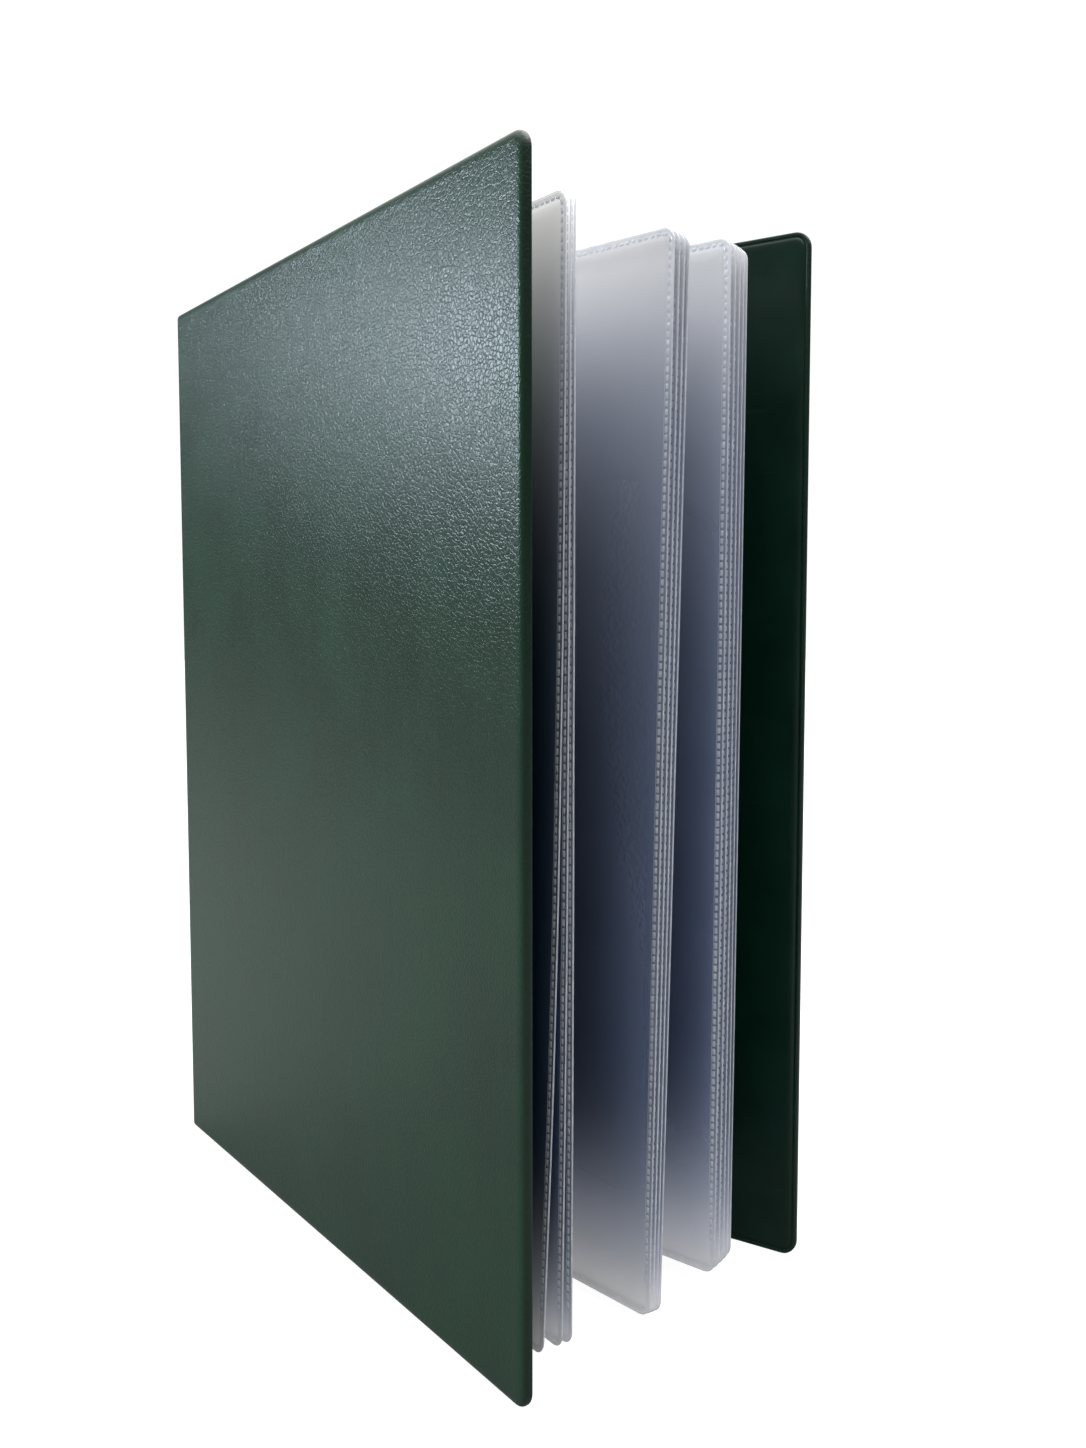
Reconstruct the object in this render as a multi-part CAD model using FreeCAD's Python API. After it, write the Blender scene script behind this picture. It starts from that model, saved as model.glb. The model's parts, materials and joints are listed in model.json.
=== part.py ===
import FreeCAD, Part
import math
import os

# Stamp album: a wrap-around vinyl cover with boards welded inside, holding twelve clear
# pocket leaves whose inner edges are welded to one binding strip on the spine.
#
# Millimetres, +Z up. The album stands on its bottom edges, half open. The origin is the foot
# of the spine at the middle of its thickness. The spine's outside faces +Y, the fore-edges
# point to -Y, the front cover is on the -X side and the back cover on the +X side.

# ---- cover
COVER_HEIGHT = 315.0
COVER_REACH = 239.0          # hinge axis to fore-edge
PANEL_THICKNESS = 3.0
SKIN = 0.5                   # vinyl over and under the board
EDGE_WALL = 1.25             # width of the rolled rim round each panel
RIM_SETBACK = 0.15           # the rim stands this much lower than the inner face
GROOVE = 0.5                 # weld groove between the rim and the inner skin
GROOVE_FLOOR = 0.15          # vinyl left at the bottom of the weld groove
CORNER_RADIUS = 5.0          # panel corners at the fore-edge
TIGHT_RADIUS = 2.0           # panel corners at the hinges and on the spine
PILLOW_RADIUS = 1.2          # rounding of the outer skin's edge
RIM_RADIUS = 0.4             # rounding of the rim on the inner side
INNER_RADIUS = 0.3           # rounding of the inner skin's edge
BOARD_PLAY = 0.05            # board edge to the skin round it

# ---- spine and hinges
HINGE_SPACING = 32.0         # between the two hinge axes
HINGE_GAP = 3.0              # hinge axis to the edge of the panel on each side
WEB_THICKNESS = 0.9          # both skins fused in the fold
WEB_TENSION = 1.7            # how far the fold's curve follows each panel before it turns
OPEN_ANGLE = 10.4            # each cover, from parallel

# ---- binding strip
FOOT_HALF_WIDTH = 11.0
FOOT_THICKNESS = 0.8
RIB_HALF_WIDTH = 6.5
NOSE_CENTRE_Y = -0.3         # the fold axes lie on an arc about this line, so that the
FOLD_ARC = 8.3               # leaves still lie beside each other when the album is flat open
ROOT_CLEARANCE = 0.05
STRIP_BOTTOM = 8.0
STRIP_TOP = 307.0

# ---- leaves
LEAF_HEIGHT = 300.0
LEAF_REACH = 225.0           # fold axis to fore-edge
LEAF_MIDDLE_Z = COVER_HEIGHT / 2
LEAF_PITCH = 1.0             # along the spine, from one fold axis to the next
LEAF_CORNER = 4.0
FILM = 0.2
BEAD_RADIUS = 0.3
BEAD_MARGIN = 9.0            # bead stops short of the leaf's corners
FILM_START = 0.15            # films start inside the bead

# Rest angle of each leaf from the spine's normal, towards the back cover, and how far its
# free edge sags in its own plane, both in degrees. The leaves hang in three bunches.
LEAVES = (
    (-8.9, 0.35), (-8.86, 0.25), (-8.82, 0.15),
    (-0.97, 1.26), (-0.8, 1.33), (-0.63, 1.4), (-0.46, 1.47),
    (5.15, 0.4), (5.6, 0.4), (6.1, 0.4), (6.57, 0.4), (7.03, 0.4),
)

UP = FreeCAD.Vector(0, 0, 1)
ORIGIN = FreeCAD.Vector(0, 0, 0)
ALONG_X = FreeCAD.Vector(1, 0, 0)
HALF = PANEL_THICKNESS / 2


def outline(corners, radii, y):
    """Closed face in the plane Y = y from XZ corners, each rounded by its own radius."""
    count = len(corners)
    points = [FreeCAD.Vector(x, y, z) for x, z in corners]
    edges = []
    ends = []
    for i in range(count):
        here = points[i]
        before = (points[i - 1] - here).normalize()
        after = (points[(i + 1) % count] - here).normalize()
        half_angle = before.getAngle(after) / 2
        setback = radii[i] / math.tan(half_angle)
        first = here + before * setback
        last = here + after * setback
        bisector = (before + after).normalize()
        middle = here + bisector * (radii[i] / math.sin(half_angle) - radii[i])
        ends.append((first, middle, last))
    for i in range(count):
        first, middle, last = ends[i]
        if radii[i] > 0:
            edges.append(Part.Arc(first, middle, last).toShape())
        edges.append(Part.LineSegment(last, ends[(i + 1) % count][0]).toShape())
    return Part.Face(Part.Wire(edges))


def plate(x_low, x_high, inset, y_low, y_high, low_x_radius, high_x_radius):
    """Upright plate of the cover's height, drawn in by inset, with rounded corners."""
    left = x_low + inset
    right = x_high - inset
    bottom = inset
    top = COVER_HEIGHT - inset
    corners = ((left, bottom), (right, bottom), (right, top), (left, top))
    low = max(low_x_radius - inset, 0.2)
    high = max(high_x_radius - inset, 0.2)
    face = outline(corners, (low, high, high, low), y_low)
    return face.extrude(FreeCAD.Vector(0, y_high - y_low, 0))


def edges_at(shape, y):
    """Edges that lie wholly in the plane Y = y."""
    return [e for e in shape.Edges
            if abs(e.BoundBox.YMin - y) < 1e-6 and abs(e.BoundBox.YMax - y) < 1e-6]


def outer_skin(x_low, x_high, low_x_radius, high_x_radius):
    """Tray of embossed vinyl: the outer face, its pillowed edge and the rolled rim."""
    ends = (low_x_radius, high_x_radius)
    rim_y = -HALF + RIM_SETBACK
    tray = plate(x_low, x_high, 0, rim_y, HALF, *ends)
    tray = tray.makeFillet(PILLOW_RADIUS, edges_at(tray, HALF))
    tray = tray.makeFillet(RIM_RADIUS, edges_at(tray, rim_y))
    hollow = plate(x_low, x_high, EDGE_WALL, rim_y - 1, HALF - SKIN, *ends)
    return tray.cut(hollow)


def board(x_low, x_high, low_x_radius, high_x_radius):
    """Greyboard stiffener, sealed between the two skins."""
    return plate(x_low, x_high, EDGE_WALL + BOARD_PLAY, -HALF + SKIN, HALF - SKIN,
                 low_x_radius, high_x_radius)


def inner_skin(x_low, x_high, low_x_radius, high_x_radius):
    """Smooth lining panel with the thin weld groove round it."""
    ends = (low_x_radius, high_x_radius)
    groove_y = -HALF + SKIN - GROOVE_FLOOR
    flange = plate(x_low, x_high, EDGE_WALL, groove_y, -HALF + SKIN, *ends)
    panel = plate(x_low, x_high, EDGE_WALL + GROOVE, -HALF, -HALF + SKIN, *ends)
    panel = panel.makeFillet(INNER_RADIUS, edges_at(panel, -HALF))
    return flange.fuse(panel).removeSplitter()


def hang_on_back_hinge(shape):
    """Turn a panel drawn along +X, with its outside towards +Y, to the back cover's place."""
    shape.rotate(ORIGIN, UP, -90 + OPEN_ANGLE)
    shape.translate(FreeCAD.Vector(HINGE_SPACING / 2, 0, 0))
    return shape


def cover_point(reach, outwards):
    """Point of the back cover's section, given along it and outwards from its middle."""
    turn = math.radians(-90 + OPEN_ANGLE)
    x = HINGE_SPACING / 2 + reach * math.cos(turn) - outwards * math.sin(turn)
    y = reach * math.sin(turn) + outwards * math.cos(turn)
    return FreeCAD.Vector(x, y, 0)


def fold_curve(outwards):
    """One face of the fold's section, tangent to the spine and to the back cover."""
    spine_edge = HINGE_SPACING / 2 - HINGE_GAP
    poles = [
        FreeCAD.Vector(spine_edge, outwards, 0),
        FreeCAD.Vector(spine_edge + WEB_TENSION, outwards, 0),
        cover_point(HINGE_GAP - WEB_TENSION, outwards),
        cover_point(HINGE_GAP, outwards),
    ]
    curve = Part.BezierCurve()
    curve.setPoles(poles)
    return curve.toShape()


def hinge_web():
    """Fold of the back hinge: the two skins welded into one thin strip."""
    reach = WEB_THICKNESS / 2
    outer = fold_curve(reach)
    inner = fold_curve(-reach)
    edges = [
        outer,
        Part.LineSegment(outer.Vertexes[-1].Point, inner.Vertexes[-1].Point).toShape(),
        inner,
        Part.LineSegment(inner.Vertexes[0].Point, outer.Vertexes[0].Point).toShape(),
    ]
    wire = Part.Wire(Part.sortEdges(edges)[0])
    web = Part.Face(wire).extrude(UP * (COVER_HEIGHT - 2 * EDGE_WALL))
    web.translate(UP * EDGE_WALL)
    return web


def arc_depth(x, radius):
    """Y of the binding's rounded nose at X = x, on the arc of the given radius."""
    return NOSE_CENTRE_Y - math.sqrt(radius ** 2 - x ** 2)


def binding_strip():
    """T-shaped extrusion: a foot welded to the spine's lining and a round-nosed rib."""
    base = -HALF
    shoulder = base - FOOT_THICKNESS
    nose = FOLD_ARC - BEAD_RADIUS - ROOT_CLEARANCE
    cheek = (RIB_HALF_WIDTH, arc_depth(RIB_HALF_WIDTH, nose))
    half_section = (
        cheek,
        (RIB_HALF_WIDTH, shoulder),
        (FOOT_HALF_WIDTH, shoulder),
        (FOOT_HALF_WIDTH, base),
    )
    right = [FreeCAD.Vector(x, y, STRIP_BOTTOM) for x, y in half_section]
    left = [FreeCAD.Vector(-x, y, STRIP_BOTTOM) for x, y in reversed(half_section)]
    tip = FreeCAD.Vector(0, arc_depth(0, nose), STRIP_BOTTOM)
    arc = Part.Arc(left[-1], tip, right[0]).toShape()
    wire = Part.Wire(Part.makePolygon(right + left).Edges + [arc])
    return Part.Face(wire).extrude(UP * (STRIP_TOP - STRIP_BOTTOM))


def leaf_outline(sag, y):
    """Leaf in the XZ plane: upright fold edge at X = 0 and a free edge that has sagged."""
    drop = LEAF_REACH * math.sin(math.radians(sag))
    lean = LEAF_HEIGHT / 2 * math.sin(math.radians(sag))
    low = LEAF_MIDDLE_Z - LEAF_HEIGHT / 2
    high = LEAF_MIDDLE_Z + LEAF_HEIGHT / 2
    corners = (
        (FILM_START, low),
        (LEAF_REACH - lean, low - drop),
        (LEAF_REACH + lean, high - drop),
        (FILM_START, high),
    )
    return outline(corners, (0, LEAF_CORNER, LEAF_CORNER, 0), y)


def leaf_films(index):
    """The two films of one leaf, front film first; the front film carries the root bead."""
    angle, sag = LEAVES[index]
    front = leaf_outline(sag, 0).extrude(FreeCAD.Vector(0, -FILM, 0))
    rear = leaf_outline(sag, 0).extrude(FreeCAD.Vector(0, FILM, 0))
    length = LEAF_HEIGHT - 2 * BEAD_MARGIN
    start = FreeCAD.Vector(0, 0, LEAF_MIDDLE_Z - length / 2)
    bead = Part.makeCylinder(BEAD_RADIUS, length, start, UP)
    rear = rear.cut(bead)
    front = front.fuse(bead)
    axis_x = (index - (len(LEAVES) - 1) / 2) * LEAF_PITCH
    films = []
    for film in (front, rear):
        film.rotate(ORIGIN, UP, -90 + angle)
        film.translate(FreeCAD.Vector(axis_x, arc_depth(axis_x, FOLD_ARC), 0))
        films.append(film)
    return films


def build():
    """Every sub-part of the album, by name."""
    parts = {}
    makers = (("outer_skin", outer_skin), ("board", board), ("inner_skin", inner_skin))

    spine_half = HINGE_SPACING / 2 - HINGE_GAP
    for name, make in makers:
        parts["spine_" + name] = make(-spine_half, spine_half, TIGHT_RADIUS, TIGHT_RADIUS)

    for name, make in makers:
        panel = make(HINGE_GAP, COVER_REACH, TIGHT_RADIUS, CORNER_RADIUS)
        parts["back_" + name] = hang_on_back_hinge(panel)
    parts["back_hinge_web"] = hinge_web()

    for name in ("outer_skin", "board", "inner_skin", "hinge_web"):
        parts["front_" + name] = parts["back_" + name].mirror(ORIGIN, ALONG_X)

    parts["binding_strip"] = binding_strip()
    for index in range(len(LEAVES)):
        front, rear = leaf_films(index)
        parts["leaf_%02d_front_film" % (index + 1)] = front
        parts["leaf_%02d_rear_film" % (index + 1)] = rear
    return parts


os.makedirs("parts", exist_ok=True)
for name, shape in build().items():
    if not shape.isValid() or len(shape.Solids) != 1:
        raise ValueError("%s is not one valid solid" % name)
    shape.exportStep("parts/" + name + ".step")
    print("%-22s %9.1f mm3" % (name, shape.Volume))
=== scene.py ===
import json
import math
import random

import bmesh
import bpy
import numpy as np
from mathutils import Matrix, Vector

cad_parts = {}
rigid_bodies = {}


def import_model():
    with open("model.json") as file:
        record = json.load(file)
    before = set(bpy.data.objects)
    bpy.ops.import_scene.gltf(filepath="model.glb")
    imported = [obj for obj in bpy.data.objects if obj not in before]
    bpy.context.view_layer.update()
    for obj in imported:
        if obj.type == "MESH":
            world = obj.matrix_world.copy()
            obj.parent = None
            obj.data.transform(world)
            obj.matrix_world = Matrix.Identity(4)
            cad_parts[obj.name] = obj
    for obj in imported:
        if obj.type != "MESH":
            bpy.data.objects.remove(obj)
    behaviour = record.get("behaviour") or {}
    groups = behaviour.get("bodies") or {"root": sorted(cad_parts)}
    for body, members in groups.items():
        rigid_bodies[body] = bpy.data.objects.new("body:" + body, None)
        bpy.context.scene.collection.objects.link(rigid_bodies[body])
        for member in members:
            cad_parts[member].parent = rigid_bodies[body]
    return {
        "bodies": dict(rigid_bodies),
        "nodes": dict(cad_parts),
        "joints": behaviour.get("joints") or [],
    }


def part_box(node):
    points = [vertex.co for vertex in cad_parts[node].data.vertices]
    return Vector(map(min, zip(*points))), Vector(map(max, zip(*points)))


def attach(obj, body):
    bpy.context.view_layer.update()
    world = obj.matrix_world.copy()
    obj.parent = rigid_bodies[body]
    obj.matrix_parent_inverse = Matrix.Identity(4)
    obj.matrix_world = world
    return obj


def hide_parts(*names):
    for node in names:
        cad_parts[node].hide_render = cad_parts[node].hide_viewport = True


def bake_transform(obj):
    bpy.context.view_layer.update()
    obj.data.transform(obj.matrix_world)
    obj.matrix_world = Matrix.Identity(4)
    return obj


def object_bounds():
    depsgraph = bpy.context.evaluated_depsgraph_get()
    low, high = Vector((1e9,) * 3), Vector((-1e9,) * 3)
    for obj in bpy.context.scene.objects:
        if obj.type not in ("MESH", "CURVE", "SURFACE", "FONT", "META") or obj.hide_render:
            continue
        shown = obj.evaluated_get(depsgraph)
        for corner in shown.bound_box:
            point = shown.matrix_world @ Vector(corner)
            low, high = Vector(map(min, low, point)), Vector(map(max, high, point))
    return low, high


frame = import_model()
CAD_LOW, CAD_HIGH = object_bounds()

# Lengths below are in millimetres and angles in degrees, and meshes are scaled to metres as
# they are made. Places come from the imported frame: its joints, boxes and CAD meshes.
MM = 0.001
JOINTS = {joint["name"]: joint for joint in frame["joints"]}
HINGE_X = JOINTS["back_cover_hinge"]["pos_m"][0] / MM
OPEN_ANGLE = -JOINTS["back_cover_hinge"]["range_deg"][0]
LEAF_NAMES = sorted(body for body in frame["bodies"] if body.startswith("leaf_"))

ARC_STEPS = 4                # half the segments of a rounded corner
ARC_SPACING = 0.45           # between the grid lines that meet those segments
LEAST_RADIUS = 0.25
SHARP_ANGLE = 50             # between faces, where shading turns sharp
RIPPLE_WAVES = 6
TUBE_SIDES = 6
FILM = 0.2
FILM_GAP = 0.006             # between the two films, on each side of the leaf's middle
LEAF_CORNER = 4.0
BEAD_MARGIN = 9.0            # root bead short of the leaf's top and bottom
SEAM = 1.55                  # leaf's edge to the middle of its weld
HINGE_GAP = 3.0              # hinge axis to the panel on each side
WEB_TENSION = 1.7            # how far the fold's curve follows each panel before it turns
TIGHT_RADIUS = 2.0           # panel corners at the hinges and on the spine
OPEN_RADIUS = 5.0            # panel corners at the fore-edge


# ---- placing

def swing(origin, degrees, mirror=1):
    """Map of (along, outwards, up) points in a panel's own axes to the row frame in metres."""
    cosine = math.cos(math.radians(degrees - 90))
    sine = math.sin(math.radians(degrees - 90))

    def place(points):
        along, outwards, up = np.asarray(points, float).T
        x = origin[0] + along * cosine - outwards * sine
        y = origin[1] + along * sine + outwards * cosine
        return np.stack((mirror * x, y, up), 1) * MM

    return place


def local_points(node, origin, degrees, mirror=1):
    """A CAD node's vertices in a panel's own axes, in millimetres."""
    points = np.array([v.co for v in frame["nodes"][node].data.vertices]) / MM
    x = points[:, 0] * mirror - origin[0]
    y = points[:, 1] - origin[1]
    cosine = math.cos(math.radians(degrees - 90))
    sine = math.sin(math.radians(degrees - 90))
    return np.stack((x * cosine + y * sine, y * cosine - x * sine, points[:, 2]), 1)


PANELS = {
    "front": ((HINGE_X, 0), OPEN_ANGLE, -1),
    "back": ((HINGE_X, 0), OPEN_ANGLE, 1),
    "spine": ((0, 0), 90, 1),
}


def ripple(points, length, seed):
    """Smooth unevenness between -1 and 1 over points, with waves about length long."""
    rng = np.random.default_rng(seed)
    total = np.zeros(len(points))
    for _ in range(RIPPLE_WAVES):
        direction = rng.normal(size=3)
        direction *= 2 * math.pi / (length * rng.uniform(0.6, 1.6)) / np.linalg.norm(direction)
        total += np.sin(points @ direction + rng.uniform(0, 2 * math.pi))
    return total / RIPPLE_WAVES


# ---- meshes

def make_object(name, points, faces, material, edge=None, shade=None):
    """Closed mesh object with smooth shading, and the attributes its material reads."""
    mesh = bpy.data.meshes.new(name)
    mesh.from_pydata([tuple(p) for p in points], [], [tuple(f) for f in faces])
    work = bmesh.new()
    work.from_mesh(mesh)
    bmesh.ops.recalc_face_normals(work, faces=work.faces)
    work.to_mesh(mesh)
    work.free()
    for label, values in (("edge", edge), ("shade", shade)):
        if values is not None:
            attribute = mesh.attributes.new(label, "FLOAT", "POINT")
            attribute.data.foreach_set("value", np.asarray(values, np.float32))
    mesh.shade_smooth()
    mesh.set_sharp_from_angle(angle=math.radians(SHARP_ANGLE))
    mesh.materials.append(material)
    made = bpy.data.objects.new(name, mesh)
    bpy.context.scene.collection.objects.link(made)
    return made


def spaced(low, high, inset, spacing):
    """Grid lines from low + inset to high - inset, closer together beside the corners."""
    near = [inset + ARC_SPACING * i for i in range(ARC_STEPS + 1)]
    first = low + near[-1]
    last = high - near[-1]
    count = max(2, round((last - first) / spacing))
    middle = np.linspace(first, last, count + 1)[1:-1]
    return np.concatenate(([low + n for n in near], middle, [high - n for n in near[::-1]]))


def border(nu, nz):
    """Grid indices once round the border."""
    return (
        [(i, 0) for i in range(nu)]
        + [(nu - 1, j) for j in range(1, nz)]
        + [(i, nz - 1) for i in range(nu - 2, -1, -1)]
        + [(0, j) for j in range(nz - 2, 0, -1)]
    )


def ring(u_lines, z_lines, box, inset, radii):
    """Loop round a plate at an inset from its edge, one point for each border point."""
    u_low, u_high, z_low, z_high = box
    nu = len(u_lines)
    nz = len(z_lines)
    points = []
    for i, j in border(nu, nz):
        left = i < nu / 2
        bottom = j < nz / 2
        a = min(i, nu - 1 - i)
        b = min(j, nz - 1 - j)
        if a <= ARC_STEPS and b <= ARC_STEPS:
            radius = max(radii[0 if left else 1] - inset, LEAST_RADIUS)
            turn = math.radians(45 + 45 * (a - b) / ARC_STEPS)
            across = inset + radius * (1 - math.cos(turn))
            above = inset + radius * (1 - math.sin(turn))
            u = u_low + across if left else u_high - across
            z = z_low + above if bottom else z_high - above
        elif b == 0:
            u = u_lines[i]
            z = z_low + inset if bottom else z_high - inset
        else:
            u = u_low + inset if left else u_high - inset
            z = z_lines[j]
        points.append((u, z))
    return points


def plate(box, radii, rings, cap_inset, spacing, first_cap, last_cap):
    """Closed plate: a grid face, rings of (inset, outwards) round its edge, a second face.

    Its edge values are 1 at the edge and 0 at cap_inset from it, and fall further inwards.
    """
    u_lines = spaced(box[0], box[1], cap_inset, spacing)
    z_lines = spaced(box[2], box[3], cap_inset, spacing)
    nu = len(u_lines)
    nz = len(z_lines)
    grid_u, grid_z = np.meshgrid(u_lines, z_lines, indexing="ij")
    cells = [
        (i * nz + j, (i + 1) * nz + j, (i + 1) * nz + j + 1, i * nz + j + 1)
        for i in range(nu - 1)
        for j in range(nz - 1)
    ]
    rim = [i * nz + j for i, j in border(nu, nz)]
    length = len(rim)

    def cap(height):
        heights = height(grid_u, grid_z) if callable(height) else np.full_like(grid_u, height)
        return np.stack((grid_u.ravel(), heights.ravel(), grid_z.ravel()), 1)

    nearest = np.minimum.reduce((box[1] - grid_u, grid_z - box[2], box[3] - grid_z)).ravel()
    points = [cap(first_cap)]
    edge = [1 - nearest / cap_inset]
    for inset, outwards in rings:
        loop = ring(u_lines, z_lines, box, inset, radii)
        points.append(np.array([(u, outwards, z) for u, z in loop]))
        edge.append(np.full(length, 1 - inset / cap_inset))
    points.append(cap(last_cap))
    edge.append(edge[0])

    faces = list(cells)
    before = rim
    for k in range(len(rings)):
        start = nu * nz + k * length
        after = list(range(start, start + length))
        faces += bridge(before, after)
        before = after
    start = nu * nz + len(rings) * length
    faces += bridge(before, [start + i for i in rim])
    faces += [tuple(start + i for i in reversed(f)) for f in cells]
    return np.concatenate(points), faces, np.concatenate(edge)


def bridge(before, after):
    """Quads between two loops of the same length."""
    count = len(before)
    return [
        (before[i], after[i], after[(i + 1) % count], before[(i + 1) % count])
        for i in range(count)
    ]


def tube(path, across, high):
    """Tube along a path in the leaf's plane: half-width across, half-height high."""
    path = np.asarray(path, float)
    along = np.gradient(path, axis=0)
    along /= np.linalg.norm(along, axis=1)[:, None]
    inward = np.stack((-along[:, 1], along[:, 0]), 1)
    turns = np.radians(np.arange(0, 360, 360 / TUBE_SIDES))
    points = []
    for k in range(len(path)):
        for turn in turns:
            u, z = path[k] + inward[k] * across * math.cos(turn)
            points.append((u, high * math.sin(turn), z))
    return points, skinned(len(path), TUBE_SIDES)


def skinned(sections, sides):
    """Faces of a closed run of sections with the same number of sides."""
    faces = []
    for k in range(sections - 1):
        here = [k * sides + i for i in range(sides)]
        faces += bridge(here, [i + sides for i in here])
    last = sections * sides - 1
    faces.append(tuple(range(sides)))
    faces.append(tuple(range(last, last - sides, -1)))
    return faces


# ---- materials

def rgb(red, green, blue):
    return (red, green, blue, 1.0)


NOISE_RANGE = (0.3, 0.7)

VINYL_DEEP = rgb(0.0024, 0.026, 0.0105)
VINYL_LIGHT = rgb(0.005, 0.047, 0.020)
VINYL_STREAK = rgb(0.009, 0.06, 0.03)
# Painted shade for the cracks of the grain.
VINYL_CRACK_SHADE = rgb(0.002, 0.015, 0.009)
# Painted shade for the skin's rounded edge.
VINYL_EDGE_SHADE = rgb(0.0004, 0.012, 0.006)
VINYL_SPECK = rgb(0.06, 0.11, 0.09)
LINING_GREENS = (rgb(0.0003, 0.012, 0.0065), rgb(0.001, 0.021, 0.0125))
STRIP_GREENS = (rgb(0.004, 0.024, 0.017), rgb(0.008, 0.036, 0.026))
SATIN_SCRATCH = rgb(0.04, 0.08, 0.06)
BOARD_DARK = rgb(0.25, 0.23, 0.2)
BOARD_LIGHT = rgb(0.42, 0.39, 0.34)
BOARD_FLECK = rgb(0.12, 0.1, 0.09)
FILM_BLUE = rgb(0.39, 0.49, 0.74)
FILM_PALE = rgb(0.54, 0.64, 0.88)
FILM_SHADED = rgb(0.02, 0.09, 0.2)
# Painted highlight for the band just inside the weld.
FILM_SWELL_HIGHLIGHT = rgb(0.5, 0.62, 0.9)
FILM_PAINTED_WHITE = rgb(0.97, 0.97, 0.98)
# Painted light: the colour of the films' glow.
FILM_PAINTED_GLOW = rgb(1.0, 0.96, 0.9)
WELD_BLUE = rgb(0.74, 0.80, 0.92)
WELD_WHITE = rgb(0.92, 0.94, 0.98)

# Metres up from the foot. Painted light: the films whiten over the first range and again down the
# second, standing in for the brighter light near their top and foot.
WHITE_TOP = (0.1, 0.305)
WHITE_FOOT = (0.0, 0.08)


class Graph:
    """A material's nodes, added one at a time and ending in its Principled shader.

    Scales are in features to the metre, and the depths of bumps in metres.
    """

    def __init__(self, name):
        self.material = bpy.data.materials.new(name)
        self.material.use_nodes = True
        self.tree = self.material.node_tree
        self.shader = self.tree.nodes["Principled BSDF"]
        self.place = self.tree.nodes.new("ShaderNodeTexCoord").outputs["Object"]

    def feed(self, socket, value):
        if isinstance(value, bpy.types.NodeSocket):
            self.tree.links.new(value, socket)
        else:
            socket.default_value = value

    def set(self, **values):
        for name, value in values.items():
            self.feed(self.shader.inputs[name.replace("_", " ")], value)

    def node(self, kind, values, **settings):
        made = self.tree.nodes.new("ShaderNode" + kind)
        for name, value in settings.items():
            setattr(made, name, value)
        for key, value in values.items():
            self.feed(made.inputs[key], value)
        return made

    def stretched(self, factors):
        return self.node("Mapping", {"Vector": self.place, "Scale": factors}).outputs[0]

    def noise(self, scale, detail=3.0, roughness=0.5, place=None):
        values = {"Vector": place or self.place, "Scale": scale, "Detail": detail,
                  "Roughness": roughness}
        return self.node("TexNoise", values).outputs["Fac"]

    def cracks(self, scale, place=None):
        """Distance to the edge between irregular cells, as in embossed leather grain."""
        values = {"Vector": place or self.place, "Scale": scale}
        made = self.node("TexVoronoi", values, feature="DISTANCE_TO_EDGE")
        return made.outputs["Distance"]

    def wobbled(self, scale, amount):
        """Coordinates pushed about by noise, so that a pattern on them is irregular."""
        values = {"Vector": self.place, "Scale": scale, "Detail": 2.0}
        colour = self.node("TexNoise", values).outputs["Color"]
        push = self.node("VectorMath", {0: colour, "Scale": amount}, operation="SCALE")
        joined = {0: self.place, 1: push.outputs[0]}
        return self.node("VectorMath", joined, operation="ADD").outputs[0]

    def spread(self, value, low, high, to_low, to_high):
        """The value, taken from low..high to to_low..to_high and held there."""
        values = {0: value, 1: low, 2: high, 3: to_low, 4: to_high}
        return self.node("MapRange", values, clamp=True).outputs[0]

    def vary(self, noise, to_low, to_high):
        """Noise over the range where most of it lies, taken to to_low..to_high."""
        return self.spread(noise, *NOISE_RANGE, to_low, to_high)

    def times(self, a, b):
        return self.maths("MULTIPLY", a, b)

    def plus(self, a, b):
        return self.maths("ADD", a, b)

    def maths(self, operation, a, b):
        return self.node("Math", {0: a, 1: b}, operation=operation).outputs[0]

    def mix(self, share, a, b):
        made = self.tree.nodes.new("ShaderNodeMix")
        made.data_type = "RGBA"
        for key, value in ((0, share), (6, a), (7, b)):
            self.feed(made.inputs[key], value)
        return made.outputs[2]

    def carried(self, name):
        """A value that the mesh carries, such as how near its edge is."""
        return self.node("Attribute", {}, attribute_name=name).outputs["Fac"]

    def bump(self, height, strength, depth, normal=None):
        values = {"Height": height, "Strength": strength, "Distance": depth}
        if normal is not None:
            values["Normal"] = normal
        return self.node("Bump", values).outputs[0]


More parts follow.
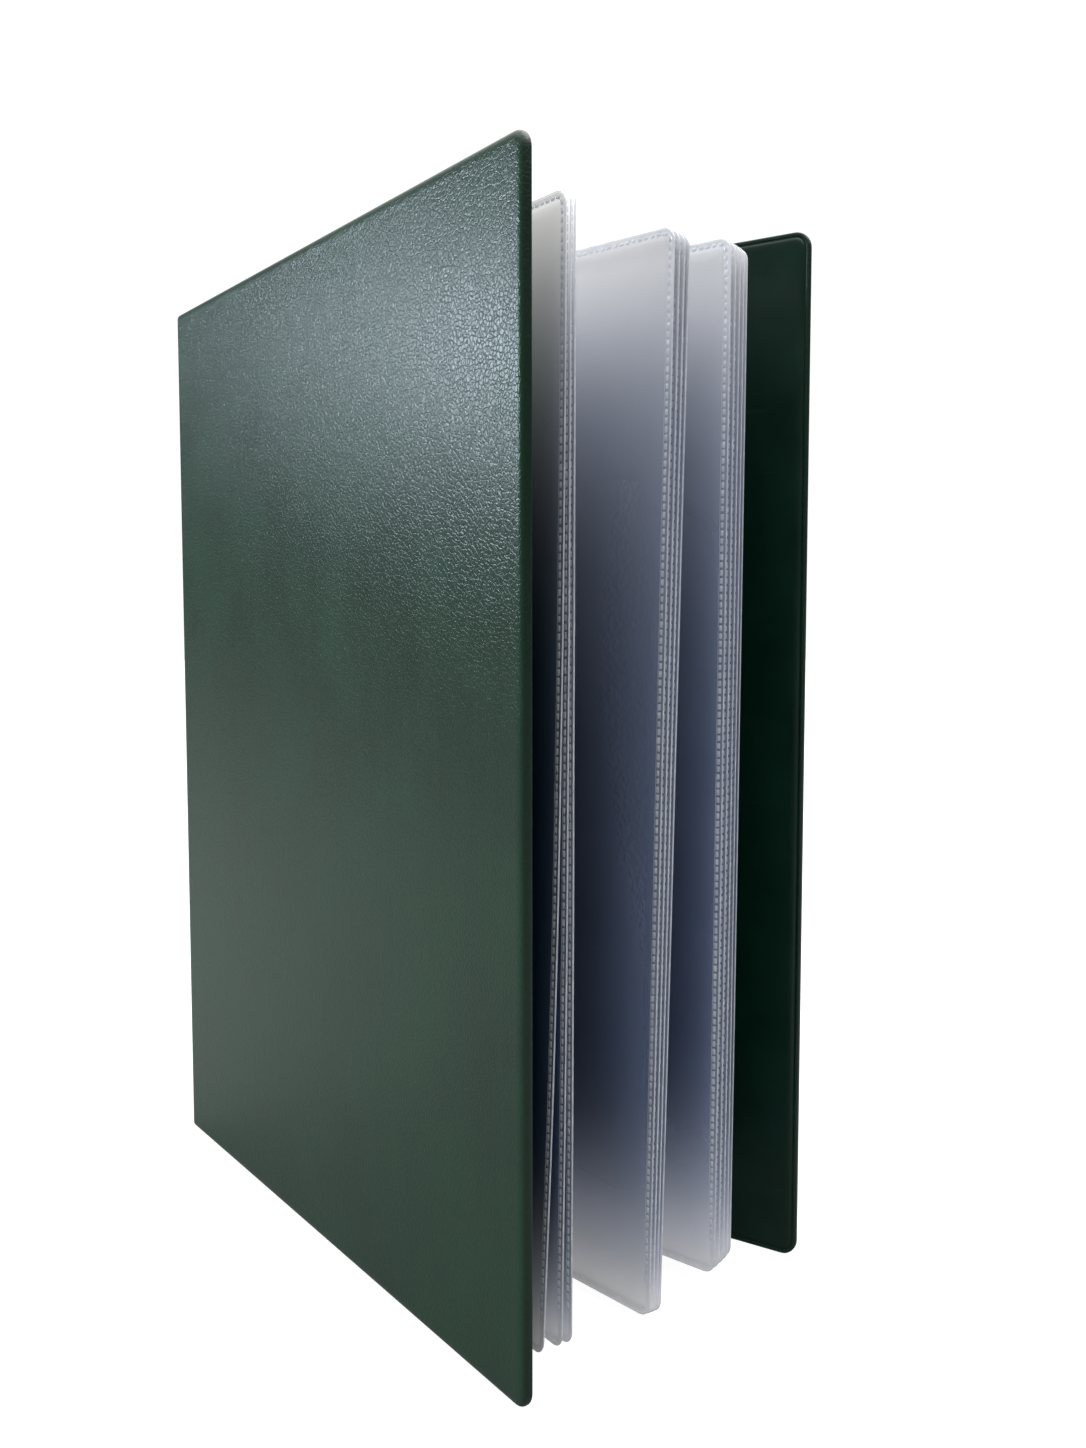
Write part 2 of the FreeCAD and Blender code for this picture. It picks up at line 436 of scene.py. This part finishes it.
def embossed_vinyl(name, grain_depth, roughness_low, roughness_high):
    """Dark green vinyl with short irregular wrinkles and faint streaks, with painted shade in the
    grain's cracks and along its rounded edge.
    """
    g = Graph(name)
    irregular = g.wobbled(420.0, 0.0016)
    wrinkles = g.spread(g.cracks(780.0, irregular), 0.0, 0.16, 0.0, 1.0)
    fine = g.noise(2600.0, 4.0, 0.6)
    patches = g.noise(26.0, 4.0, 0.55)
    streaks = g.noise(1.0, 3.0, 0.6, g.stretched((420.0, 420.0, 9.0)))
    specks = g.spread(g.noise(900.0, 2.0), 0.71, 0.76, 0.0, 1.0)

    colour = g.mix(g.vary(patches, 0.0, 1.0), VINYL_DEEP, VINYL_LIGHT)
    colour = g.mix(g.spread(streaks, 0.35, 0.75, 0.0, 0.2), colour, VINYL_STREAK)
    # Painted shade: darker in the cracks of the grain.
    colour = g.mix(g.spread(wrinkles, 0.0, 1.0, 0.35, 0.0), colour, VINYL_CRACK_SHADE)
    # Painted shade: the rounded edge of the skin is darkened, standing in for the dimmer light
    # and reflection there.
    painted_edge_shade = g.spread(g.carried("edge"), 0.74, 0.92, 0.0, 0.85)
    colour = g.mix(painted_edge_shade, colour, VINYL_EDGE_SHADE)
    colour = g.mix(g.times(specks, 0.25), colour, VINYL_SPECK)

    worn = g.plus(g.times(patches, 0.85), g.times(streaks, 0.15))
    roughness = g.vary(worn, roughness_low, roughness_high)
    normal = g.bump(g.noise(55.0, 3.0), 0.15, 0.0004)
    normal = g.bump(wrinkles, 0.2, grain_depth, normal)
    normal = g.bump(fine, 0.15, 0.00004, normal)
    g.set(Base_Color=colour, Roughness=roughness, Normal=normal, IOR=1.4)
    return g.material


def satin_vinyl(name, deep, light):
    """Smooth satin lining with soft mottling, faint scratches and a little orange peel."""
    g = Graph(name)
    mottle = g.noise(38.0, 5.0, 0.6)
    peel = g.noise(1100.0, 2.0)
    scratches = g.noise(1.0, 2.0, 0.5, g.stretched((30.0, 30.0, 1500.0)))
    scratch = g.spread(scratches, 0.72, 0.76, 0.0, 1.0)
    colour = g.mix(g.vary(mottle, 0.0, 1.0), deep, light)
    colour = g.mix(g.times(scratch, 0.15), colour, SATIN_SCRATCH)
    roughness = g.vary(mottle, 0.28, 0.4)
    roughness = g.plus(roughness, g.times(scratch, 0.12))
    normal = g.bump(mottle, 0.25, 0.0004)
    normal = g.bump(peel, 0.25, 0.00008, normal)
    g.set(Base_Color=colour, Roughness=roughness, Normal=normal, IOR=1.36)
    return g.material


def greyboard():
    """Raw pressed board with flecks of fibre."""
    g = Graph("greyboard")
    fibres = g.noise(1.0, 4.0, 0.6, g.stretched((900.0, 900.0, 160.0)))
    flecks = g.spread(g.noise(1400.0, 2.0), 0.64, 0.7, 0.0, 1.0)
    colour = g.mix(fibres, BOARD_DARK, BOARD_LIGHT)
    colour = g.mix(g.times(flecks, 0.5), colour, BOARD_FLECK)
    roughness = g.spread(fibres, 0.2, 0.8, 0.82, 0.95)
    g.set(Base_Color=colour, Roughness=roughness, Normal=g.bump(fibres, 0.5, 0.0002))
    return g.material


def clear_film():
    """Soft clear vinyl film: slightly blue and hazy, glossy, with a little orange peel, and with
    painted light and shade: whiter and glowing at top and foot, a painted highlight inside the
    weld, and deeper blue on the shaded first leaves.
    """
    g = Graph("clear_film")
    clouds = g.noise(24.0, 3.0)
    edge = g.carried("edge")
    shade = g.carried("shade")
    peel = g.noise(620.0, 2.0)
    pull = g.noise(1.0, 2.0, 0.5, g.stretched((60.0, 60.0, 14.0)))
    normal = g.bump(pull, 0.12, 0.0005)
    normal = g.bump(peel, 0.35, 0.00006, normal)
    mirror = g.node("Fresnel", {"IOR": 1.45, "Normal": normal}).outputs[0]
    height = g.node("SeparateXYZ", {0: g.place}).outputs["Z"]
    upper = g.spread(height, *WHITE_TOP, 0.0, 1.0)
    lower = g.spread(height, *WHITE_FOOT, 1.0, 0.0)

    def by_shade(plain, shaded):
        return g.spread(shade, 0.0, 1.0, plain, shaded)

    # Painted light: whiter and hazier towards the top and the foot of each leaf.
    high_painted_light = g.maths("POWER", upper, by_shade(2.7, 3.2))
    low_painted_light = g.maths("POWER", lower, by_shade(1.8, 3.0))
    painted_light_share = g.maths("MAXIMUM", high_painted_light, low_painted_light)
    haze = g.plus(g.vary(clouds, 0.0, 0.025), by_shade(0.08, 0.004))
    haze = g.plus(haze, g.times(painted_light_share, by_shade(0.66, 1.0)))
    weld = g.spread(edge, 0.5, 0.72, 0.0, 0.07)
    # Painted highlight: a paler, slightly denser bluish band just inside the weld, where the
    # pocket swells.
    swell = g.maths("POWER", g.spread(edge, -2.6, 0.3, 0.0, 1.0), 2.0)
    rim = g.plus(weld, g.times(swell, 0.05))
    alpha = g.plus(g.plus(haze, rim), g.times(mirror, 1.1))

    # Painted light: the films glow white at the foot of every leaf and at the top of the shaded
    # ones, standing in for light from the backdrop scattered through the clear layers.
    low_glow = g.times(g.maths("POWER", lower, 3.8), 0.135)
    high_glow = g.times(g.maths("POWER", upper, 9.0), 0.27)
    painted_glow = g.plus(low_glow, g.times(high_glow, shade))
    colour = g.mix(clouds, FILM_BLUE, FILM_PALE)
    # Painted shade: the first leaves are deeper blue and clearer, as if in the front cover's
    # shadow.
    colour = g.mix(shade, colour, FILM_SHADED)
    colour = g.mix(g.times(swell, 0.4), colour, FILM_SWELL_HIGHLIGHT)
    # The weld is really whiter; the rest of this whitening is painted light.
    weld_white_and_painted_light = g.maths("MAXIMUM", painted_light_share, g.times(weld, 6.0))
    colour = g.mix(weld_white_and_painted_light, colour, FILM_PAINTED_WHITE)
    roughness = g.vary(pull, 0.14, 0.26)
    g.set(Base_Color=colour, Roughness=roughness, Normal=normal, Alpha=alpha, IOR=2.1,
          Emission_Color=FILM_PAINTED_GLOW, Emission_Strength=painted_glow)
    return g.material


def welded_film():
    """Clear film where it has been pressed together or cut with heat: whiter and denser."""
    g = Graph("welded_film")
    clouds = g.noise(300.0, 3.0)
    colour = g.mix(clouds, WELD_BLUE, WELD_WHITE)
    roughness = g.vary(clouds, 0.16, 0.32)
    alpha = g.vary(clouds, 0.66, 0.86)
    normal = g.bump(g.noise(1500.0, 2.0), 0.4, 0.00008)
    g.set(Base_Color=colour, Roughness=roughness, Normal=normal, Alpha=alpha, IOR=1.9)
    return g.material


OUTER = embossed_vinyl("embossed_vinyl", 0.00018, 0.28, 0.33)
FOLD = embossed_vinyl("fold_vinyl", 0.00006, 0.38, 0.5)
LINING = satin_vinyl("lining_vinyl", *LINING_GREENS)
STRIP = satin_vinyl("strip_vinyl", *STRIP_GREENS)
BOARD = greyboard()
CLEAR = clear_film()
WELDED = welded_film()


# ---- cover

# Edges of the skins: (inset, outwards) round the panel, from its face to its hidden side.
OUTER_RINGS = (
    (3.6, 1.49), (2.6, 1.47), (1.8, 1.40), (1.25, 1.27), (0.85, 1.08), (0.5, 0.80),
    (0.25, 0.50), (0.08, 0.15), (0.02, -0.20), (0.02, -0.75), (0.08, -1.05), (0.20, -1.23),
    (0.42, -1.33), (0.70, -1.35), (0.98, -1.32), (1.18, -1.22), (1.25, -1.05), (1.25, 1.0),
)
INNER_RINGS = (
    (4.0, -1.5), (3.3, -1.49), (2.6, -1.46), (2.15, -1.40), (1.9, -1.30), (1.78, -1.17),
    (1.6, -1.12), (1.3, -1.13), (1.27, -1.0),
)
FACE_INSET = 4.6             # panel's edge to the even middle of its skins
SKIN_HEIGHT = 1.47           # faces of the skins over the panel's middle
SKIN_BACK = 1.0              # hidden side of each skin, against the board
SKIN_RIPPLE = 0.03


def uneven(height, length, seed):
    """A skin's face as a function of its grid: flat but for a slight ripple."""
    def face(u, z):
        points = np.stack((u.ravel(), np.zeros(u.size), z.ravel()), 1)
        return height + SKIN_RIPPLE * ripple(points, length, seed).reshape(u.shape)

    return face


def cover_skins(side):
    """The embossed outer skin and the smooth lining of one panel, in place of the CAD ones."""
    origin, degrees, mirror = PANELS[side]
    place = swing(origin, degrees, mirror)
    outline = local_points(side + "_outer_skin", origin, degrees, mirror)
    low = outline.min(0)
    high = outline.max(0)
    box = (low[0], high[0], low[2], high[2])
    narrow = side == "spine"
    radii = (TIGHT_RADIUS, TIGHT_RADIUS if narrow else OPEN_RADIUS)
    body = side if narrow else side + "_cover"
    spacing = 4.0 if narrow else 7.0
    outer_face = uneven(SKIN_HEIGHT, 60.0, 3)
    inner_face = uneven(-SKIN_HEIGHT, 45.0, 5)

    for node, label, rings, first, last, material, slot in (
        ("_outer_skin", "_cover", OUTER_RINGS, outer_face, SKIN_BACK, OUTER, "embossed_vinyl"),
        ("_inner_skin", "_lining", INNER_RINGS, inner_face, -SKIN_BACK, LINING, "lining_vinyl"),
    ):
        points, faces, edge = plate(box, radii, rings, FACE_INSET, spacing, first, last)
        piece = make_object(side + label, place(points), faces, material, edge)
        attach(piece, body)
        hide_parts(side + node)
    dress(side + "_board", BOARD)


def dress(node, material):
    """Give a CAD node that is carried over its material."""
    mesh = frame["nodes"][node].data
    mesh.materials.clear()
    mesh.materials.append(material)


FOLD_STEPS = 28
FOLD_HALF = 0.45             # half the fold's thickness, away from its grooves
GROOVE_PLACES = (0.2, 0.8)   # along the fold, from the spine to the cover
GROOVE_WIDTH = 0.05
GROOVE_DEPTH = 0.16
RIB_DEPTH = 0.03
RIBS = 10
END_ROUNDING = 0.6           # height over which the fold thins at its ends
END_SHARE = 0.55             # of its thickness that is left there


def hinge_fold(side):
    """Thin fold between the spine and a cover: both skins welded, with pressed grooves."""
    origin, degrees, mirror = PANELS[side]
    node = side + "_hinge_web"
    low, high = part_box(node)
    spine_edge = origin[0] - HINGE_GAP
    turn = math.radians(degrees - 90)
    along = np.array((math.cos(turn), math.sin(turn)))
    start = np.array((spine_edge, 0.0))
    hinge = np.array(origin, float)
    poles = [start, start + (WEB_TENSION, 0), hinge + along * (HINGE_GAP - WEB_TENSION),
             hinge + along * HINGE_GAP]
    places = np.linspace(0, 1, FOLD_STEPS + 1)
    centres = []
    for t in places:
        weights = ((1 - t) ** 3, 3 * t * (1 - t) ** 2, 3 * t * t * (1 - t), t ** 3)
        centres.append(sum(w * p for w, p in zip(weights, poles)))
    centres = np.array(centres)
    slope = np.gradient(centres, axis=0)
    slope /= np.linalg.norm(slope, axis=1)[:, None]
    outwards = np.stack((-slope[:, 1], slope[:, 0]), 1)
    groove = sum(np.exp(-((places - place) / GROOVE_WIDTH) ** 2) for place in GROOVE_PLACES)
    ribs = RIB_DEPTH * np.cos(places * math.pi * RIBS) ** 2
    thickness = FOLD_HALF - GROOVE_DEPTH * groove - ribs

    z_low = low.z / MM
    z_high = high.z / MM
    ends = (0.0, 0.2, END_ROUNDING)
    stations = [z_low + end for end in ends]
    stations += list(np.linspace(z_low + 5, z_high - 5, 48))
    stations += [z_high - end for end in ends[::-1]]
    points = []
    for z in stations:
        near = min(z - z_low, z_high - z)
        pinch = END_SHARE + (1 - END_SHARE) * min(1.0, near / END_ROUNDING)
        reach = (thickness * pinch)[:, None]
        section = np.concatenate((centres + outwards * reach, (centres - outwards * reach)[::-1]))
        points += [(mirror * x, y, z) for x, y in section]
    faces = skinned(len(stations), 2 * len(places))
    piece = make_object(side + "_hinge_fold", np.array(points) * MM, faces, FOLD,
                        np.zeros(len(points)))
    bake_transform(piece)
    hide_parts(node)


for side in ("spine", "front", "back"):
    cover_skins(side)
for side in ("front", "back"):
    hinge_fold(side)
dress("binding_strip", STRIP)


# ---- leaves

# Outer face of a film: height over the leaf's middle at each inset from the leaf's edge.
# The flange is flat, the weld is pressed in, and the pocket swells beyond it.
FILM_PROFILE = (
    (0.0, 0.05), (0.08, 0.14), (0.22, 0.19), (0.45, 0.205), (0.8, 0.205), (1.0, 0.16),
    (1.2, 0.12), (1.9, 0.12), (2.1, 0.16), (2.4, 0.23), (2.9, 0.29), (3.5, 0.335),
    (4.1, 0.365),
)
FILM_INSET = 4.8             # leaf's edge to the film's even middle
POCKET_HEIGHT = 0.40
POCKET_RIPPLE = 0.012
FILM_SPACING = 7.0
INNER_STEP = 0.02            # film's inner face is drawn in by this much at its edge
BOW = 0.9                    # shared by all the leaves, so that they nest when closed
BOW_SWAY = 0.25              # share of the bow that changes up the leaf
LEAF_RIPPLE = 0.12
CORNER_BEND = (5.8, 1.5)     # how far the first leaves lean to the front cover low down
BEND_ACROSS = 1.5            # how late that bend sets in towards the fore-edge
BEND_DOWN = 2.5              # and towards the foot
SHADED_LEAVES = 3            # painted shade: the first bunch, clearer and deeper blue than the rest, for the front cover's shadow over it


def leaf_map(name, corner_bend):
    """Map of a flat leaf's (along, outwards, up) points to the row frame, and its box."""
    joint = JOINTS[name + "_fold"]
    origin = (joint["pos_m"][0] / MM, joint["pos_m"][1] / MM)
    degrees = min(joint["range_deg"], key=abs)
    points = local_points(name + "_rear_film", origin, degrees)
    start = points[:, 0].min()
    root = points[points[:, 0] < start + 0.5]
    bottom = root[:, 2].min()
    top = root[:, 2].max()
    lower = points[points[:, 2] < (bottom + top) / 2]
    upper = points[points[:, 2] > (bottom + top) / 2]
    reach = (lower[:, 0].max() + upper[:, 0].max()) / 2
    lowest = points[points[:, 2].argmin()]
    slope = max(0.0, (bottom - lowest[2]) / max(lowest[0] - start, 1.0))
    sine = reach * slope / (reach + (top - bottom) / 2 * slope)
    drop = reach * sine
    lean = (top - bottom) / 2 * sine
    place = swing(origin, degrees)

    def to_frame(flat):
        flat = np.asarray(flat, float)
        across = (flat[:, 0] - start) / (reach - start)
        up = (flat[:, 2] - bottom) / (top - bottom)
        held = np.clip(across, 0, 1)
        sway = 1 - BOW_SWAY + BOW_SWAY * np.sin(2 * math.pi * up + 1)
        bow = BOW * np.sin(math.pi * held) * sway
        bow += LEAF_RIPPLE * held * ripple(flat * (1, 0, 1), 70.0, 11)
        bow -= corner_bend * held ** BEND_ACROSS * np.clip(1 - up, 0, 1) ** BEND_DOWN
        bent = flat.copy()
        bent[:, 0] += lean * (2 * up - 1) * held
        bent[:, 1] += bow
        bent[:, 2] -= drop * across
        return place(bent)

    return to_frame, (start, reach, bottom, top)


def film(side, box):
    """One film of a leaf as a closed sheet, on the side -1 (front) or +1 (rear)."""
    def pocket(u, z, drawn_in):
        flat = np.stack((u.ravel(), np.zeros(u.size), z.ravel()), 1)
        swell = POCKET_RIPPLE * ripple(flat, 30.0, 21 + side).reshape(u.shape)
        return side * (POCKET_HEIGHT + swell - drawn_in)

    outer = [(inset, side * height) for inset, height in FILM_PROFILE[::-1]]
    inner = [(inset + INNER_STEP, side * max(FILM_GAP, height - FILM))
             for inset, height in FILM_PROFILE]
    return plate(box, (0.0, LEAF_CORNER), outer + inner, FILM_INSET, FILM_SPACING,
                 lambda u, z: pocket(u, z, 0.0), lambda u, z: pocket(u, z, FILM))


def edge_path(box, inset, sides):
    """Points along the leaf's edge at an inset: any of its bottom, fore and top sides."""
    start, reach, bottom, top = box
    radius = LEAF_CORNER - inset
    centre_u = reach - LEAF_CORNER
    turns = np.radians(np.linspace(0, 90, 10))
    path = []
    if "bottom" in sides:
        path += [(u, bottom + inset) for u in np.linspace(start + 1, centre_u, PATH_STEPS)]
        path += [(centre_u + radius * math.sin(a), bottom + LEAF_CORNER - radius * math.cos(a))
                 for a in turns[1:]]
    if "fore" in sides:
        low = bottom + LEAF_CORNER
        high = top - LEAF_CORNER
        path += [(reach - inset, z) for z in np.linspace(low, high, 60)[1:]]
    if "top" in sides:
        path += [(centre_u + radius * math.cos(a), top - LEAF_CORNER + radius * math.sin(a))
                 for a in turns[1:]]
        path += [(u, top - inset) for u in np.linspace(centre_u, start + 1, PATH_STEPS)[1:]]
    return np.array(path)


CELL_PITCH = 2.25
CELL_HALF_LONG = 0.86
CELL_HALF_WIDE = 0.5
CELL_CUT = 0.22              # off each corner of a cell
CELL_LEVELS = ((-0.25, 0.7), (-0.17, 1.0), (0.17, 1.0), (0.25, 0.7))   # height, share of size
CELL_PLAY = 0.08             # unevenness along the row
CELL_SIZES = (0.9, 1.06)


def weld_cells(box, rng):
    """The row of small pressed cells down the fore-edge and along the top."""
    path = edge_path(box, SEAM, ("fore", "top"))
    steps = np.linalg.norm(np.diff(path, axis=0), axis=1)
    travelled = np.concatenate(([0], np.cumsum(steps)))
    far = CELL_HALF_LONG
    near = CELL_HALF_LONG - CELL_CUT
    wide = CELL_HALF_WIDE
    slim = CELL_HALF_WIDE - CELL_CUT
    shape = [(far, slim), (near, wide), (-near, wide), (-far, slim),
             (-far, -slim), (-near, -wide), (near, -wide), (far, -slim)]
    points = []
    faces = []
    for distance in np.arange(CELL_PITCH, travelled[-1] - CELL_PITCH, CELL_PITCH):
        spot = distance + rng.uniform(-CELL_PLAY, CELL_PLAY)
        u = np.interp(spot, travelled, path[:, 0])
        z = np.interp(spot, travelled, path[:, 1])
        ahead_u = np.interp(spot + 0.5, travelled, path[:, 0]) - u
        ahead_z = np.interp(spot + 0.5, travelled, path[:, 1]) - z
        length = math.hypot(ahead_u, ahead_z)
        tu, tz = ahead_u / length, ahead_z / length
        size = rng.uniform(*CELL_SIZES)
        base = len(points)
        for height, scale in CELL_LEVELS:
            for a, b in shape:
                a *= scale * size
                b *= scale * size
                points.append((u + a * tu - b * tz, height, z + a * tz + b * tu))
        sides = len(shape)
        top = base + sides * (len(CELL_LEVELS) - 1)
        for start in range(base, top, sides):
            here = [start + i for i in range(sides)]
            faces += bridge(here, [i + sides for i in here])
        faces.append(tuple(base + i for i in reversed(range(sides))))
        faces.append(tuple(top + i for i in range(sides)))
    return points, faces


# Tubes along the leaf: inset from its edge, half-width and half-height.
CUT_EDGE = (0.16, 0.15, 0.235)
HEM_LINES = ((1.1, 0.15, 0.235), (1.75, 0.15, 0.235), (2.4, 0.15, 0.235))
POCKET_LINE = (2.3, 0.08, 0.26)
BEAD_HALF = 0.28
HEM_SHORT = 2                # points that a hem line stops before the corner ends
PATH_STEPS = 40


def weld_piece(box, rng):
    """Everything that heat has left on a leaf: cells, hem lines, the cut edge, root bead."""
    points, faces = weld_cells(box, rng)
    inset, across, high = CUT_EDGE
    parts = [tube(edge_path(box, inset, ("bottom", "fore", "top")), across, high)]
    for inset, across, high in HEM_LINES:
        parts.append(tube(edge_path(box, inset, ("bottom",))[:-HEM_SHORT], across, high))
    inset, across, high = POCKET_LINE
    parts.append(tube(edge_path(box, inset, ("fore", "top")), across, high))
    heights = np.linspace(box[2] + BEAD_MARGIN, box[3] - BEAD_MARGIN, PATH_STEPS)
    parts.append(tube([(0.0, z) for z in heights], BEAD_HALF, BEAD_HALF))
    points = list(points)
    for more_points, more_faces in parts:
        base = len(points)
        points += list(more_points)
        faces += [tuple(base + i for i in f) for f in more_faces]
    return points, faces


FIRST_SEED = 100
for number, name in enumerate(LEAF_NAMES):
    to_frame, box = leaf_map(name, CORNER_BEND[number] if number < len(CORNER_BEND) else 0.0)
    for side, label in ((-1, "_front_film"), (1, "_rear_film")):
        points, faces, edge = film(side, box)
        # The shade attribute carries painted shade onto the first bunch.
        shade = np.full(len(points), SHADED_LEAVES > number, float)
        piece = make_object(name + label + "_sheet", to_frame(points), faces, CLEAR, edge, shade)
        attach(piece, name)
        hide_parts(name + label)
    points, faces = weld_piece(box, random.Random(FIRST_SEED + number))
    piece = make_object(name + "_weld", to_frame(points), faces, WELDED)
    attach(piece, name)


# ---- studio

SKY_START = 0.3              # heights on the unit sphere where the light overhead begins
SKY_FULL = 0.9               # and where it is full
HORIZON_LIGHT = 0.15
SKY_LIGHT = 2.6
BACKDROP_WHITE = 1.05        # backdrop and floor as the camera sees them
FLOOR_WHITE = 0.9
FLOOR_GREY = 0.3             # floor as the light sees it
FLOOR_SIZE = 6.0             # in metres, as everything below
FLOOR_GAP = 0.0002

KEY_PLACE = (-0.62, 0.83, 0.503)
KEY_TARGET = (-0.05, -0.2, 0.27)
KEY_SIZE = (0.33, 0.15)
KEY_POWER = 5.0
KEY_COLOUR = (0.76, 0.88, 1.0)
TOP_PLACE = (0.15, -0.35, 1.3)
TOP_TARGET = (0.0, -0.12, 0.2)
TOP_SIZE = (1.0, 1.0)
TOP_POWER = 7.0
TOP_COLOUR = (1.0, 1.0, 1.0)

CAMERA_PLACE = (-0.28315, -0.46293, 0.19849)
CAMERA_YAW = 44.858
CAMERA_PITCH = -4.332
CAMERA_LENS = 32.94
CAMERA_SENSOR = 36.0
CAMERA_NEAR = 0.02
FILM_LAYERS = 96             # clear surfaces that a ray may cross


def stage_material(name, camera_white):
    """White to the camera and dimmer to everything else, so that the object isn't washed out."""
    material = bpy.data.materials.new(name)
    material.use_nodes = True
    tree = material.node_tree
    tree.nodes.clear()
    output = tree.nodes.new("ShaderNodeOutputMaterial")
    direct = tree.nodes.new("ShaderNodeLightPath").outputs["Is Camera Ray"]
    plain = tree.nodes.new("ShaderNodeBsdfDiffuse")
    plain.inputs["Color"].default_value = rgb(FLOOR_GREY, FLOOR_GREY, FLOOR_GREY)
    glow = tree.nodes.new("ShaderNodeEmission")
    level = tree.nodes.new("ShaderNodeMapRange")
    level.inputs[3].default_value = 0.0
    level.inputs[4].default_value = camera_white
    tree.links.new(direct, level.inputs[0])
    tree.links.new(level.outputs[0], glow.inputs["Strength"])
    both = tree.nodes.new("ShaderNodeAddShader")
    tree.links.new(plain.outputs[0], both.inputs[0])
    tree.links.new(glow.outputs[0], both.inputs[1])
    tree.links.new(both.outputs[0], output.inputs["Surface"])
    return material


def make_floor():
    size = FLOOR_SIZE
    mesh = bpy.data.meshes.new("floor")
    corners = [(-size, -size, 0), (size, -size, 0), (size, size, 0), (-size, size, 0)]
    mesh.from_pydata(corners, [], [(0, 1, 2, 3)])
    mesh.materials.append(stage_material("floor_white", FLOOR_WHITE))
    floor = bpy.data.objects.new("floor", mesh)
    floor.location.z = CAD_LOW.z - FLOOR_GAP
    bpy.context.scene.collection.objects.link(floor)


def make_world():
    world = bpy.data.worlds.new("studio")
    world.use_nodes = True
    tree = world.node_tree
    background = tree.nodes["Background"]
    direct = tree.nodes.new("ShaderNodeLightPath").outputs["Is Camera Ray"]
    ways = tree.nodes.new("ShaderNodeTexCoord").outputs["Generated"]
    height = tree.nodes.new("ShaderNodeSeparateXYZ")
    tree.links.new(ways, height.inputs[0])
    sky = tree.nodes.new("ShaderNodeMapRange")
    sky.interpolation_type = "SMOOTHSTEP"
    for index, value in ((1, SKY_START), (2, SKY_FULL), (3, HORIZON_LIGHT), (4, SKY_LIGHT)):
        sky.inputs[index].default_value = value
    tree.links.new(height.outputs["Z"], sky.inputs[0])
    level = tree.nodes.new("ShaderNodeMapRange")
    level.inputs[4].default_value = BACKDROP_WHITE
    tree.links.new(direct, level.inputs[0])
    tree.links.new(sky.outputs[0], level.inputs[3])
    tree.links.new(level.outputs[0], background.inputs["Strength"])
    background.inputs["Color"].default_value = rgb(1.0, 1.0, 1.0)
    bpy.context.scene.world = world


def make_light(name, location, target, size, power, colour):
    data = bpy.data.lights.new(name, "AREA")
    data.shape = "ELLIPSE"
    data.size, data.size_y = size
    data.energy = power
    data.color = colour
    light = bpy.data.objects.new(name, data)
    light.location = location
    aim = Vector(target) - Vector(location)
    light.rotation_mode = "QUATERNION"
    light.rotation_quaternion = aim.to_track_quat("-Z", "Y")
    bpy.context.scene.collection.objects.link(light)


def make_camera():
    data = bpy.data.cameras.new("camera")
    data.sensor_width = CAMERA_SENSOR
    data.lens = CAMERA_LENS
    data.clip_start = CAMERA_NEAR
    camera = bpy.data.objects.new("camera", data)
    camera.location = CAMERA_PLACE
    yaw = math.radians(CAMERA_YAW)
    pitch = math.radians(CAMERA_PITCH)
    look = Vector((math.cos(yaw) * math.cos(pitch), math.sin(yaw) * math.cos(pitch),
                   math.sin(pitch)))
    camera.rotation_mode = "QUATERNION"
    camera.rotation_quaternion = look.to_track_quat("-Z", "Y")
    bpy.context.scene.collection.objects.link(camera)
    bpy.context.scene.camera = camera


make_floor()
make_world()
make_camera()
make_light("key", KEY_PLACE, KEY_TARGET, KEY_SIZE, KEY_POWER, KEY_COLOUR)
make_light("top", TOP_PLACE, TOP_TARGET, TOP_SIZE, TOP_POWER, TOP_COLOUR)
scene = bpy.context.scene
scene.view_settings.view_transform = "Standard"
scene.cycles.transparent_max_bounces = FILM_LAYERS
